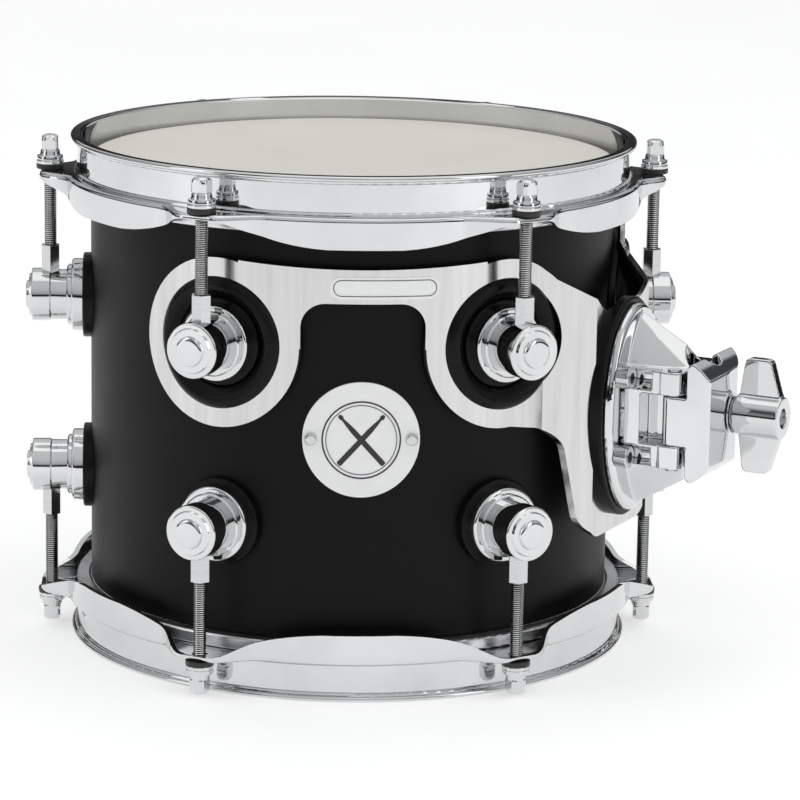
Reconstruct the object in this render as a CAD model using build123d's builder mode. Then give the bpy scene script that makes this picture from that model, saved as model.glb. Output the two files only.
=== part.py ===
"""Eight inch rack tom drum: shell, two heads, two hoops, lugs, suspension mount and tom-arm clamp.

Millimetres, +Z up. The origin is on the drum's axis, in the plane of the lower rim that the drum rests
on. Azimuth 0 is the badge side, looking along +Y, and grows towards +X. The upper (batter) half of the
drum is the lower (resonant) half mirrored about the mid plane.
"""
import os
from math import cos, radians, sin, sqrt

from build123d import *

# --- Drum ---
SHELL_R = 100.8
SHELL_WALL = 5.5
SHELL_LENGTH = 177.8
HEIGHT = 194.6
MID_Z = HEIGHT / 2
EDGE_Z = (HEIGHT - SHELL_LENGTH) / 2
EDGE_ROUND = 1.8
BORE_R = SHELL_R - SHELL_WALL

# --- Hoops (lower hoop, z measured up from the rim plane) ---
RIM_R = 108.7
RIM_THICK = 2.0
HOOP_WALL = 2.2
HOOP_BORE_R = 104.0
LEDGE_Z = 14.4
LEDGE_THICK = 2.0
LEDGE_R = 110.9
SKIRT_TOP_Z = 26.0
SKIRT_THICK = 2.0
SKIRT_BEND_R = 1.8
EAR_TIP_R = 120.4
EAR_HALF_TIP = 5.6
EAR_BLEND_DEG = 11.5
ROD_HOLE_R = 2.9

# --- Heads ---
FILM = 0.25
FILM_R = SHELL_R
FLESH_R = 106.4
FLESH_HEIGHT = 5.2
FLESH_Z = LEDGE_Z + LEDGE_THICK

# --- Tension rods and washers ---
LUG_AZIMUTHS = (-150, -90, -30, 30, 90, 150)
ROD_CIRCLE_R = 116.36
ROD_R = 4.83 / 2
ROD_END_Z = 1.2
HEAD_SQUARE = 6.35
HEAD_SQUARE_TOP_Z = 7.4
BELL_R = 3.9
FLANGE_R = 5.0
FLANGE_Z = 9.2
WASHER_R = 5.2
NYLON_R = 5.3
NYLON_THICK = 1.9
STEEL_THICK = 1.4
NYLON_Z = LEDGE_Z - NYLON_THICK
STEEL_Z = NYLON_Z - STEEL_THICK
WASHER_BORE_R = 2.7
ROD_TIP_Z = 68.0

# --- Lugs ---
LUG_Z = 63.6
GASKET_R = 16.35
LUG_SEAT = 103.8
LUG_BASE_R = 14.0
LUG_BASE_END = 110.0
BARREL_R = 10.2
BARREL_END = 123.6
CAP_END = 125.9
INSERT_FLATS = 6.7
INSERT_BORE_R = ROD_R + 0.05
INSERT_END_Z = 44.1
INSERT_HEAD_Z = LUG_Z + 3.0
LUG_SCREW_R = 3.0
LUG_SCREW_HEAD_R = 5.5
LUG_SCREW_HEAD = 3.2
LUG_SCREW_REACH = 6.0
SCREW_WASHER_R = 7.0
SCREW_WASHER_THICK = 1.4

# --- Badge and label ---
BADGE_R = 21.4
BADGE_THICK = 1.0
BADGE_SCREW_X = 18.4
BADGE_SCREW_R = 1.2
BADGE_SCREW_HEAD_R = 2.2
LABEL_AZIMUTH = 4.3
LABEL_Z = 153.8
LABEL_LENGTH = 40.0
LABEL_HEIGHT = 8.0
LABEL_THICK = 0.25

# --- Suspension plate ---
PLATE_R = 103.2
PLATE_THICK = 1.8
RING_Z = HEIGHT - LUG_Z
RING_R = 31.3
GROMMET_R = 24.4
GROMMET_FLANGE_R = 29.0
MOUNT_AZIMUTH = 60
MOUNT_Z = 101.0
PANEL_U = 112.7
PANEL_HALF = 24.0
JOGGLE_DEG = 20
MOUNTED_LUGS = (-30, 30, 90, 150)
CUT_FROM = 60.0
CUT_DEPTH = 70.0

# --- Clamp bracket, u is the distance from the drum's axis along the mount's azimuth ---
FOOT_GASKET_U = PANEL_U + PLATE_THICK
FOOT_U = FOOT_GASKET_U + 4.0
BODY_U = FOOT_U + 3.5
PARTING_U = 146.7
JAW_U = 148.1
JAW_OUTER_U = 156.6
POCKET_U = 154.8
ARM_U = 147.4
ARM_R = 6.35
HINGE_U = 141.5
HINGE_X = -13.0
KNUCKLE_R = 4.1
PIN_R = 2.0
KNUCKLE_HALF = 9.2
KNUCKLE_GAP = 0.2
PIN_HEAD = 0.8
HINGE_HALF = 18.3
SCREW_X = 10.0
STUD_R = 6.35 / 2
COLLAR_U = 154.9
COLLAR_R = 6.3
BOSS_U = 158.2
BOSS_R = 7.8
BOSS_END_U = 176.0
WING_HALF = 21.7
WING_THICK = 4.6
FOOT_HALF = 25.0
FOOT_TALL = 39.5
BOLT_R = 2.5
BOLT_HEAD_R = 4.2
BOLT_HEAD = 5.0
BOLT_SOCKET = 4.0
NUT_FLATS = 8.0
NUT_THICK = 4.5
BOLT_SPOTS = ((-18.6, 15), (18.6, 15), (-18.6, -15), (18.6, -15))
OUTWARD = Axis((0, 0, 0), (sin(radians(MOUNT_AZIMUTH)), -cos(radians(MOUNT_AZIMUTH)), 0))


def polar(radius, azimuth):
    """Point on the circle of that radius, azimuth counted from -Y towards +X."""
    return (radius * sin(radians(azimuth)), -radius * cos(radians(azimuth)))


def radial_plane(azimuth, distance, height=0.0):
    """Plane facing outward at an azimuth: local x along the tangent, y up, z outward."""
    a = radians(azimuth)
    return Plane(origin=(distance * sin(a), -distance * cos(a), height),
                 x_dir=(cos(a), sin(a), 0), z_dir=(sin(a), -cos(a), 0))


def save(part, name):
    """Label one finished piece and write it as its own STEP file."""
    part.label = name
    export_step(part, f"parts/{name}.step")


def save_both(part, lower_name, upper_name):
    """Write a piece of the lower half, and its mirror image in the upper half."""
    save(part, lower_name)
    with BuildPart() as upper:
        mirror(part, about=Plane.XY.offset(MID_Z))
    save(upper.part, upper_name)


def ring(inner, outer, bottom, top):
    """A plain tube about the drum's axis."""
    with BuildPart() as tube:
        with BuildSketch(Plane.XY.offset(bottom)):
            Circle(outer)
            Circle(inner, mode=Mode.SUBTRACT)
        extrude(amount=top - bottom)
    return tube.part


def shell():
    """Wooden shell with bevelled bearing edges, and the holes for the lugs and the badge."""
    with BuildPart() as body:
        with BuildSketch(Plane.XZ):
            with BuildLine():
                crown = SHELL_R - EDGE_ROUND
                bevel_z = EDGE_Z + crown - BORE_R
                Polyline((SHELL_R, MID_Z), (BORE_R, MID_Z), (BORE_R, bevel_z), (crown, EDGE_Z))
                CenterArc((crown, EDGE_Z + EDGE_ROUND), EDGE_ROUND, -90, 90)
                Line((SHELL_R, EDGE_Z + EDGE_ROUND), (SHELL_R, MID_Z))
            make_face()
        revolve(axis=Axis.Z)
        mirror(about=Plane.XY.offset(MID_Z))
        for azimuth in LUG_AZIMUTHS:
            for height in (LUG_Z, HEIGHT - LUG_Z):
                with BuildSketch(radial_plane(azimuth, BORE_R - 3, height)):
                    Circle(LUG_SCREW_R)
                extrude(amount=SHELL_WALL + 6, mode=Mode.SUBTRACT)
        with BuildSketch(radial_plane(0, SHELL_R - 4.0, MID_Z)):
            with Locations((-BADGE_SCREW_X, 0), (BADGE_SCREW_X, 0)):
                Circle(BADGE_SCREW_R)
        extrude(amount=10, mode=Mode.SUBTRACT)
    return body.part


def hoop_outline(inset):
    """Plan outline of the hoop's ledge: a circle with six ears, drawn smaller by the inset."""
    edge = LEDGE_R - inset
    tip = EAR_TIP_R - inset
    half = EAR_HALF_TIP - 0.4 * inset
    for ear in LUG_AZIMUTHS:
        a = radians(ear)
        along = Vector(cos(a), sin(a))
        centre = Vector(*polar(tip, ear))
        left = centre - along * half
        right = centre + along * half
        start = Vector(*polar(edge, ear - EAR_BLEND_DEG))
        end = Vector(*polar(edge, ear + EAR_BLEND_DEG))
        before = radians(ear - EAR_BLEND_DEG)
        after = radians(ear + EAR_BLEND_DEG)
        Spline(start, left, tangents=((cos(before), sin(before)), (cos(a), sin(a))))
        Line(left, right)
        Spline(right, end, tangents=((cos(a), sin(a)), (cos(after), sin(after))))
        middle = Vector(*polar(edge, ear + 30))
        ThreePointArc(end, middle, Vector(*polar(edge, ear + 60 - EAR_BLEND_DEG)))


def hoop():
    """Triple-flanged hoop: rolled rim, wall, ledge with ears, and a skirt scalloped at every ear."""
    with BuildPart() as body:
        with BuildSketch(Plane.XY.offset(LEDGE_Z)):
            with BuildLine():
                hoop_outline(0.0)
            make_face()
        extrude(amount=SKIRT_TOP_Z - LEDGE_Z)
        bend = body.faces().sort_by(Axis.Z)[0].outer_wire().edges()
        fillet(bend, SKIRT_BEND_R)
        with BuildSketch(Plane.XY.offset(LEDGE_Z + LEDGE_THICK)):
            with BuildLine():
                hoop_outline(SKIRT_THICK)
            make_face()
        extrude(amount=SKIRT_TOP_Z - LEDGE_Z, mode=Mode.SUBTRACT)
        for azimuth in LUG_AZIMUTHS:
            with BuildSketch(radial_plane(azimuth, 90)):
                with BuildLine():
                    low = LEDGE_Z + LEDGE_THICK
                    high = SKIRT_TOP_Z + 6
                    for side in (-1, 1):
                        Line((0, low), (side * 5, low))
                        Spline((side * 5, low), (side * 15, low + 3.4), (side * 28, low + 7.6),
                               (side * 50, SKIRT_TOP_Z + 0.3),
                               tangents=((side, 0), (side, 0.03)))
                        Line((side * 50, SKIRT_TOP_Z + 0.3), (side * 50, high))
                    Line((-50, high), (50, high))
                make_face()
            extrude(amount=40, mode=Mode.SUBTRACT)
        with BuildSketch(Plane.XY):
            Circle(HOOP_BORE_R)
        extrude(amount=SKIRT_TOP_Z + 1, mode=Mode.SUBTRACT)
        with BuildSketch(Plane.XZ):
            wall_r = HOOP_BORE_R + HOOP_WALL
            rim_edge = RIM_THICK / 2
            ledge_top = LEDGE_Z + LEDGE_THICK
            with BuildLine():
                Line((HOOP_BORE_R, ledge_top), (HOOP_BORE_R, rim_edge))
                RadiusArc((HOOP_BORE_R, rim_edge), (HOOP_BORE_R + rim_edge, 0), rim_edge)
                Line((HOOP_BORE_R + rim_edge, 0), (RIM_R - rim_edge, 0))
                ThreePointArc((RIM_R - rim_edge, 0), (RIM_R, rim_edge), (RIM_R - rim_edge, RIM_THICK))
                Line((RIM_R - rim_edge, RIM_THICK), (wall_r + 1.2, RIM_THICK))
                RadiusArc((wall_r + 1.2, RIM_THICK), (wall_r, RIM_THICK + 1.2), -1.2)
                Line((wall_r, RIM_THICK + 1.2), (wall_r, LEDGE_Z - 1.2))
                RadiusArc((wall_r, LEDGE_Z - 1.2), (wall_r + 1.2, LEDGE_Z), -1.2)
                Polyline((wall_r + 1.2, LEDGE_Z), (wall_r + 1.2, ledge_top), (HOOP_BORE_R, ledge_top))
            make_face()
        revolve(axis=Axis.Z)
        for azimuth in LUG_AZIMUTHS:
            with Locations(Location((*polar(ROD_CIRCLE_R, azimuth), LEDGE_Z))):
                Cylinder(ROD_HOLE_R, 12, mode=Mode.SUBTRACT)
    return body.part


def head_film():
    """Thin drum head: flat over the bearing edge, then a collar down into the flesh hoop."""
    crown = SHELL_R - EDGE_ROUND
    outer = FILM_R + FILM
    bend_z = EDGE_Z + EDGE_ROUND
    end_z = FLESH_Z + FLESH_HEIGHT - 0.4
    with BuildPart() as film:
        with BuildSketch(Plane.XZ):
            with BuildLine():
                Polyline((crown, EDGE_Z), (0, EDGE_Z), (0, EDGE_Z - FILM), (crown, EDGE_Z - FILM))
                CenterArc((crown, bend_z), EDGE_ROUND + FILM, -90, 90)
                Polyline((outer, bend_z), (outer, end_z), (FILM_R, end_z), (FILM_R, bend_z))
                CenterArc((crown, bend_z), EDGE_ROUND, -90, 90)
            make_face()
        revolve(axis=Axis.Z)
    return film.part


def flesh_hoop():
    """Aluminium channel that grips the rim of the head, under the hoop's ledge."""
    inner = FILM_R + FILM
    with BuildPart() as channel:
        with BuildSketch(Plane.XZ):
            with Locations(((inner + FLESH_R) / 2, FLESH_Z + FLESH_HEIGHT / 2)):
                RectangleRounded(FLESH_R - inner, FLESH_HEIGHT, 1.0)
        revolve(axis=Axis.Z)
    return channel.part


def tension_rod():
    """Square-headed 10-32 rod at the origin, head down."""
    with BuildPart() as rod:
        with BuildSketch(Plane.XY.offset(ROD_END_Z)):
            RectangleRounded(HEAD_SQUARE, HEAD_SQUARE, 0.5)
        extrude(amount=HEAD_SQUARE_TOP_Z - ROD_END_Z)
        with BuildSketch(Plane.XZ):
            with BuildLine():
                Line((0, ROD_END_Z), (1.0, ROD_END_Z))
                ThreePointArc((1.0, ROD_END_Z), (3.2, ROD_END_Z + 1.1), (4.4, ROD_END_Z + 3.2))
                Polyline((4.4, ROD_END_Z + 3.2), (4.4, HEAD_SQUARE_TOP_Z), (0, HEAD_SQUARE_TOP_Z),
                         (0, ROD_END_Z))
            make_face()
        revolve(axis=Axis.Z, mode=Mode.INTERSECT)
        with BuildSketch(Plane.XZ):
            with BuildLine():
                Line((0, HEAD_SQUARE_TOP_Z - 1.2), (3.0, HEAD_SQUARE_TOP_Z - 1.2))
                ThreePointArc((3.0, HEAD_SQUARE_TOP_Z - 1.2), (BELL_R - 0.3, HEAD_SQUARE_TOP_Z - 0.2),
                              (BELL_R, FLANGE_Z))
                Polyline((BELL_R, FLANGE_Z), (FLANGE_R - 0.3, FLANGE_Z), (FLANGE_R, FLANGE_Z + 0.3),
                         (FLANGE_R, STEEL_Z), (ROD_R, STEEL_Z), (ROD_R, ROD_TIP_Z - 0.8),
                         (ROD_R - 0.8, ROD_TIP_Z), (0, ROD_TIP_Z), (0, HEAD_SQUARE_TOP_Z - 1.2))
            make_face()
        revolve(axis=Axis.Z)
    return rod.part


def around(part, azimuths=LUG_AZIMUTHS):
    """Copies of a piece made at the origin, standing on the circle of the tension rods."""
    with BuildPart() as copies:
        with Locations(*[Location((*polar(ROD_CIRCLE_R, a), 0), (0, 0, a)) for a in azimuths]):
            add(part)
    return copies.part


def turned(part, azimuths):
    """Copies of a piece made at azimuth 0, turned about the drum's axis."""
    with BuildPart() as copies:
        with Locations(*[Location((0, 0, 0), (0, 0, a)) for a in azimuths]):
            add(part)
    return copies.part


def washer(outer, bottom, thick):
    """Flat washer on a tension rod, at the origin."""
    with BuildPart() as disc:
        with BuildSketch(Plane.XY.offset(bottom)):
            Circle(outer)
            Circle(WASHER_BORE_R, mode=Mode.SUBTRACT)
        extrude(amount=thick)
        fillet(disc.edges().filter_by(GeomType.CIRCLE).sort_by(SortBy.RADIUS)[-2:], 0.35)
    return disc.part


def insert():
    """Hexagonal swivel nut, at the origin, that the tension rod screws into."""
    with BuildPart() as nut:
        with BuildSketch(Plane.XY.offset(INSERT_END_Z)):
            RegularPolygon(INSERT_FLATS / 2, 6, major_radius=False)
            Circle(INSERT_BORE_R, mode=Mode.SUBTRACT)
        extrude(amount=INSERT_HEAD_Z - INSERT_END_Z)
    return nut.part


def lug():
    """Turret lug at azimuth 0: flanged base, barrel with the insert's hole, and a stepped cap."""
    with BuildPart() as turret:
        with BuildSketch(Plane.YZ):
            with BuildLine():
                Polyline((-LUG_SEAT, LUG_Z), (-LUG_SEAT, LUG_Z + LUG_BASE_R),
                         (-LUG_SEAT - 3.4, LUG_Z + LUG_BASE_R))
                ThreePointArc((-LUG_SEAT - 3.4, LUG_Z + LUG_BASE_R),
                              (-LUG_SEAT - 4.1, LUG_Z + LUG_BASE_R - 0.3),
                              (-LUG_SEAT - 4.4, LUG_Z + LUG_BASE_R - 1.0))
                Polyline((-LUG_SEAT - 4.4, LUG_Z + LUG_BASE_R - 1.0),
                         (-LUG_SEAT - 4.4, LUG_Z + BARREL_R + 1.6),
                         (-LUG_BASE_END + 0.6, LUG_Z + BARREL_R + 1.6),
                         (-LUG_BASE_END, LUG_Z + BARREL_R + 1.0),
                         (-LUG_BASE_END, LUG_Z + BARREL_R - 0.5),
                         (-BARREL_END + 7.5, LUG_Z + BARREL_R - 0.5),
                         (-BARREL_END + 7.0, LUG_Z + BARREL_R),
                         (-BARREL_END + 0.7, LUG_Z + BARREL_R))
                ThreePointArc((-BARREL_END + 0.7, LUG_Z + BARREL_R),
                              (-BARREL_END + 0.2, LUG_Z + BARREL_R - 0.2),
                              (-BARREL_END, LUG_Z + BARREL_R - 0.7))
                Polyline((-BARREL_END, LUG_Z + BARREL_R - 0.7),
                         (-BARREL_END, LUG_Z + 8.4),
                         (-BARREL_END - 0.9, LUG_Z + 7.9),
                         (-BARREL_END - 0.9, LUG_Z + 5.6),
                         (-CAP_END + 0.4, LUG_Z + 5.2),
                         (-CAP_END + 0.1, LUG_Z + 4.6),
                         (-CAP_END, LUG_Z), (-LUG_SEAT, LUG_Z))
            make_face()
        revolve(axis=Axis(origin=(0, 0, LUG_Z), direction=(0, 1, 0)))
        with BuildSketch(Plane(origin=(0, -ROD_CIRCLE_R, INSERT_HEAD_Z))):
            RegularPolygon(INSERT_FLATS / 2 + 0.05, 6, major_radius=False)
        extrude(amount=-25, mode=Mode.SUBTRACT)
        with BuildSketch(Plane(origin=(0, -ROD_CIRCLE_R, INSERT_HEAD_Z))):
            Circle(ROD_R + 0.4)
        extrude(amount=ROD_TIP_Z - INSERT_HEAD_Z + 1.0, mode=Mode.SUBTRACT)
        with BuildSketch(radial_plane(0, LUG_SEAT, LUG_Z)):
            Circle(LUG_SCREW_R)
        extrude(amount=7.0, mode=Mode.SUBTRACT)
    return turret.part


def lug_gasket():
    """Rubber pad between a lug and the shell, at azimuth 0."""
    with BuildPart() as pad:
        with BuildSketch(radial_plane(0, SHELL_R - 4, LUG_Z)):
            Circle(GASKET_R)
            Circle(LUG_SCREW_R, mode=Mode.SUBTRACT)
        extrude(amount=LUG_SEAT - SHELL_R + 4)
        fillet(pad.faces().sort_by(Axis.Y)[0].outer_wire().edges(), 0.8)
        add(ring(0.1, SHELL_R, LUG_Z - 30, LUG_Z + 30), mode=Mode.SUBTRACT)
    return pad.part


def lug_screw():
    """Pan-head screw from inside the shell into a lug, at azimuth 0."""
    head = BORE_R - SCREW_WASHER_THICK
    with BuildPart() as screw:
        with BuildSketch(radial_plane(0, head - LUG_SCREW_HEAD, LUG_Z)):
            Circle(LUG_SCREW_HEAD_R)
        extrude(amount=LUG_SCREW_HEAD)
        fillet(screw.faces().sort_by(Axis.Y)[-1].edges(), 1.4)
        with BuildSketch(radial_plane(0, head, LUG_Z)):
            Circle(LUG_SCREW_R)
        extrude(amount=LUG_SEAT + LUG_SCREW_REACH - head)
        with BuildSketch(radial_plane(0, head - LUG_SCREW_HEAD, LUG_Z)):
            Rectangle(1.2, 7.0)
            Rectangle(7.0, 1.2)
        extrude(amount=1.6, mode=Mode.SUBTRACT)
    return screw.part


def lug_screw_washer():
    """Washer under a lug screw, at azimuth 0, seated in the curve of the shell's bore."""
    with BuildPart() as disc:
        with BuildSketch(radial_plane(0, BORE_R - SCREW_WASHER_THICK, LUG_Z)):
            Circle(SCREW_WASHER_R)
            Circle(LUG_SCREW_R, mode=Mode.SUBTRACT)
        extrude(amount=3.0)
        with BuildSketch(Plane.XY.offset(LUG_Z - 20)):
            Circle(BORE_R)
        extrude(amount=40, mode=Mode.INTERSECT)
    return disc.part


def badge():
    """Round badge bent to the shell, with two screw holes."""
    with BuildPart() as disc:
        with BuildSketch(radial_plane(0, SHELL_R - 5, MID_Z)):
            Circle(BADGE_R)
            with Locations((-BADGE_SCREW_X, 0), (BADGE_SCREW_X, 0)):
                Circle(BADGE_SCREW_R, mode=Mode.SUBTRACT)
        extrude(amount=10)
        add(ring(SHELL_R, SHELL_R + BADGE_THICK, MID_Z - 30, MID_Z + 30), mode=Mode.INTERSECT)
    return disc.part


def badge_screws():
    """Two small round-head screws that hold the badge."""
    with BuildPart() as screws:
        seat = sqrt((SHELL_R + BADGE_THICK) ** 2 - (BADGE_SCREW_X - BADGE_SCREW_HEAD_R) ** 2)
        for x in (-BADGE_SCREW_X, BADGE_SCREW_X):
            with BuildSketch(radial_plane(0, SHELL_R - 4.0, MID_Z)):
                with Locations((x, 0)):
                    Circle(BADGE_SCREW_R)
            extrude(amount=seat - SHELL_R + 4.2)
            with BuildSketch(radial_plane(0, seat, MID_Z)):
                with Locations((x, 0)):
                    Circle(BADGE_SCREW_HEAD_R)
            extrude(amount=1.2)
        heads = screws.faces().filter_by(Axis.Y).sort_by(Axis.Y)[0:2]
        fillet(heads.edges(), 0.8)
    return screws.part


def bridge_outline():
    """Arched bridge between two neighbouring rings, in the plane facing outward between them."""
    reach = 45.0
    side = 22.6
    spring_z = RING_Z + 8.0
    crown_z = RING_Z + 17.0
    ThreePointArc((-reach, RING_Z + 31.0), (0, RING_Z + 29.4), (reach, RING_Z + 31.0))
    for s in (-1, 1):
        Polyline((s * reach, RING_Z + 31.0), (s * reach, RING_Z), (s * side, RING_Z),
                 (s * side, spring_z))
        RadiusArc((s * side, spring_z), (s * (side - 9.0), crown_z), s * -9.0)
    Line((-(side - 9.0), crown_z), (side - 9.0, crown_z))


def panel_outline():
    """Outline of the raised panel that carries the clamp, between the two rings beside it."""
    for s in (-1, 1):
        FilletPolyline((0, 139.5), (s * 17, 139.5), (s * 37, 156.0), radius=13)
        Polyline((s * 37, 156.0), (s * 50, 156.0), (s * 50, 99.8))
        FilletPolyline((s * 50, 99.8), (s * 31.5, 96.5), (s * 26.5, 54.0), (0, 54.0), radius=11)


def suspension_plate():
    """Sprung steel band round four lugs, with a raised flat panel for the clamp."""
    outer = PLATE_R + PLATE_THICK
    with BuildPart() as keep:
        for azimuth in MOUNTED_LUGS:
            with BuildSketch(radial_plane(azimuth, CUT_FROM, RING_Z)):
                Circle(RING_R)
            extrude(amount=CUT_DEPTH)
        for azimuth in (0, 120):
            with BuildSketch(radial_plane(azimuth, CUT_FROM)):
                with BuildLine():
                    bridge_outline()
                make_face()
            extrude(amount=CUT_DEPTH)
        with BuildSketch(radial_plane(MOUNT_AZIMUTH, CUT_FROM)):
            with BuildLine():
                panel_outline()
            make_face()
        extrude(amount=CUT_DEPTH)
    with BuildPart() as plate:
        with BuildSketch(Plane.XY.offset(50)):
            for inner in (False, True):
                radius = PLATE_R if inner else outer
                face_u = PANEL_U if inner else PANEL_U + PLATE_THICK
                half = PANEL_HALF - (0.6 if inner else 0.0)
                frame = radial_plane(MOUNT_AZIMUTH, 0)
                near = (frame.x_dir * -half + frame.z_dir * face_u)
                far = (frame.x_dir * half + frame.z_dir * face_u)
                with BuildLine():
                    first = polar(radius, MOUNT_AZIMUTH - JOGGLE_DEG)
                    last = polar(radius, MOUNT_AZIMUTH + JOGGLE_DEG)
                    Polyline(first, near, far, last)
                    ThreePointArc(last, polar(radius, MOUNT_AZIMUTH + 180), first)
                make_face(mode=Mode.SUBTRACT if inner else Mode.ADD)
        extrude(amount=125)
        add(keep.part, mode=Mode.INTERSECT)
        for azimuth in MOUNTED_LUGS:
            with BuildSketch(radial_plane(azimuth, CUT_FROM, RING_Z)):
                Circle(GROMMET_R)
            extrude(amount=CUT_DEPTH, mode=Mode.SUBTRACT)
        with BuildSketch(radial_plane(MOUNT_AZIMUTH, PANEL_U - 4, MOUNT_Z)):
            with Locations(*BOLT_SPOTS):
                Circle(BOLT_R)
        extrude(amount=10, mode=Mode.SUBTRACT)
    return plate.part


def curved_disc(radius, low, high):
    """Disc at azimuth 0 and lug height, bent to the drum between two radii."""
    with BuildPart() as disc:
        with BuildSketch(radial_plane(0, CUT_FROM, LUG_Z)):
            Circle(radius)
        extrude(amount=CUT_DEPTH)
        add(ring(low, high, LUG_Z - 2 * radius, LUG_Z + 2 * radius), mode=Mode.INTERSECT)
    return disc.part


def grommet():
    """Rubber ring at azimuth 0, lower row height, that isolates the plate from a lug."""
    outer = PLATE_R + PLATE_THICK
    steps = ((GROMMET_FLANGE_R, SHELL_R, PLATE_R), (GROMMET_R, PLATE_R, outer),
             (GROMMET_R - 0.6, outer, outer + 0.9), (20.5, outer + 0.9, outer + 2.2))
    with BuildPart() as rubber:
        for radius, low, high in steps:
            add(curved_disc(radius, low, high))
        with BuildSketch(radial_plane(0, CUT_FROM, LUG_Z)):
            Circle(GASKET_R + 0.1)
        extrude(amount=CUT_DEPTH, mode=Mode.SUBTRACT)
    return rubber.part


def label():
    """Blank oval label on the front bridge of the plate."""
    outer = PLATE_R + PLATE_THICK
    with BuildPart() as sticker:
        with BuildSketch(radial_plane(LABEL_AZIMUTH, CUT_FROM, LABEL_Z)):
            SlotOverall(LABEL_LENGTH, LABEL_HEIGHT)
        extrude(amount=CUT_DEPTH)
        add(ring(outer, outer + LABEL_THICK, LABEL_Z - 10, LABEL_Z + 10), mode=Mode.INTERSECT)
    return sticker.part


def mount_plane(distance):
    """Plane across the clamp's axis: local x away from the badge side, y up, z outward."""
    return radial_plane(MOUNT_AZIMUTH, distance, MOUNT_Z)


def level_plane(depth):
    """Plane facing down, some depth below the clamp's axis: local x outward, y towards the badge side."""
    frame = radial_plane(MOUNT_AZIMUTH, 0)
    return Plane(origin=(0, 0, MOUNT_Z - depth), x_dir=frame.z_dir, z_dir=(0, 0, -1))


def foot_gasket():
    """Oval rubber pad between the raised panel and the clamp's foot."""
    with BuildPart() as pad:
        with BuildSketch(mount_plane(FOOT_GASKET_U)):
            Ellipse(27.4, 41.8)
            with Locations(*BOLT_SPOTS):
                Circle(BOLT_R, mode=Mode.SUBTRACT)
        extrude(amount=FOOT_U - FOOT_GASKET_U)
        fillet(pad.faces().sort_by(OUTWARD)[-1].outer_wire().edges(), 1.2)
    return pad.part


def clamp_base():
    """Cast foot and body of the clamp, with half of the arm's bore and two hinge knuckles."""
    with BuildPart() as base:
        with BuildSketch(mount_plane(FOOT_U)):
            Ellipse(FOOT_HALF, FOOT_TALL)
        extrude(amount=BODY_U - FOOT_U)
        fillet(base.faces().sort_by(OUTWARD)[-1].edges(), 2.0)
        with BuildSketch(mount_plane(BODY_U - 1.5)):
            with BuildLine():
                for s in (-1, 1):
                    ThreePointArc((0, -38.0), (s * 14.5, 0), (0, 38.0))
            make_face()
        with BuildSketch(mount_plane(PARTING_U)):
            with BuildLine():
                for s in (-1, 1):
                    ThreePointArc((0, -22.5), (s * 13.5, 0), (0, 22.5))
            make_face()
        loft()
        with BuildSketch(level_plane(-HINGE_HALF)):
            with BuildLine():
                Polyline((BODY_U - 1, 0), (BODY_U + 1.0, 16.5), (HINGE_U - KNUCKLE_R, 16.5),
                         (HINGE_U - KNUCKLE_R, 17.0), (HINGE_U, 17.0), (PARTING_U, 8.5),
                         (PARTING_U, -17.0), (132.0, -17.0), (BODY_U + 3.0, -13.5), (BODY_U - 1, 0))
            make_face()
        extrude(amount=2 * HINGE_HALF)
        with BuildSketch(level_plane(-HINGE_HALF)):
            with Locations((HINGE_U, -HINGE_X)):
                Circle(KNUCKLE_R)
        extrude(amount=2 * HINGE_HALF)
        with BuildSketch(level_plane(-KNUCKLE_HALF - KNUCKLE_GAP)):
            with Locations(((HINGE_U + PARTING_U) / 2 - 0.8, -HINGE_X)):
                Rectangle(PARTING_U - HINGE_U + 2 * KNUCKLE_R - 1.0, 9.0)
        extrude(amount=2 * (KNUCKLE_HALF + KNUCKLE_GAP), mode=Mode.SUBTRACT)
        with BuildSketch(level_plane(-HINGE_HALF - 1)):
            with Locations((HINGE_U, -HINGE_X)):
                Circle(PIN_R)
        extrude(amount=2 * HINGE_HALF + 2, mode=Mode.SUBTRACT)
        with BuildSketch(level_plane(-60)):
            with Locations((ARM_U, 0)):
                Circle(ARM_R)
        extrude(amount=120, mode=Mode.SUBTRACT)
        with BuildSketch(mount_plane(PARTING_U)):
            with Locations((SCREW_X, 0)):
                Circle(STUD_R)
        extrude(amount=-12, mode=Mode.SUBTRACT)
        with BuildSketch(level_plane(-9.3)):
            with Locations((133.2, 13.5)):
                Rectangle(8.0, 12.0)
        extrude(amount=18.6, mode=Mode.SUBTRACT)
        with BuildSketch(mount_plane(FOOT_U)):
            with Locations(*BOLT_SPOTS):
                Circle(BOLT_R)
        extrude(amount=12, mode=Mode.SUBTRACT)
        with BuildSketch(mount_plane(BODY_U)):
            with Locations(*BOLT_SPOTS):
                Circle(BOLT_HEAD_R + 0.4)
        extrude(amount=12, mode=Mode.SUBTRACT)
    return base.part


def mount_bolts():
    """Four socket-cap bolts that hold the clamp's foot to the panel."""
    with BuildPart() as bolts:
        with BuildSketch(mount_plane(BODY_U)):
            with Locations(*BOLT_SPOTS):
                Circle(BOLT_HEAD_R)
        extrude(amount=BOLT_HEAD)
        fillet(bolts.faces().filter_by(OUTWARD).sort_by(OUTWARD)[-4:].edges(), 0.6)
        with BuildSketch(mount_plane(BODY_U)):
            with Locations(*BOLT_SPOTS):
                Circle(BOLT_R)
        extrude(amount=PANEL_U - 6.0 - BODY_U)
        with BuildSketch(mount_plane(BODY_U + 2.0)):
            with Locations(*BOLT_SPOTS):
                RegularPolygon(BOLT_SOCKET / 2, 6, major_radius=False)
        extrude(amount=4.0, mode=Mode.SUBTRACT)
    return bolts.part


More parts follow.
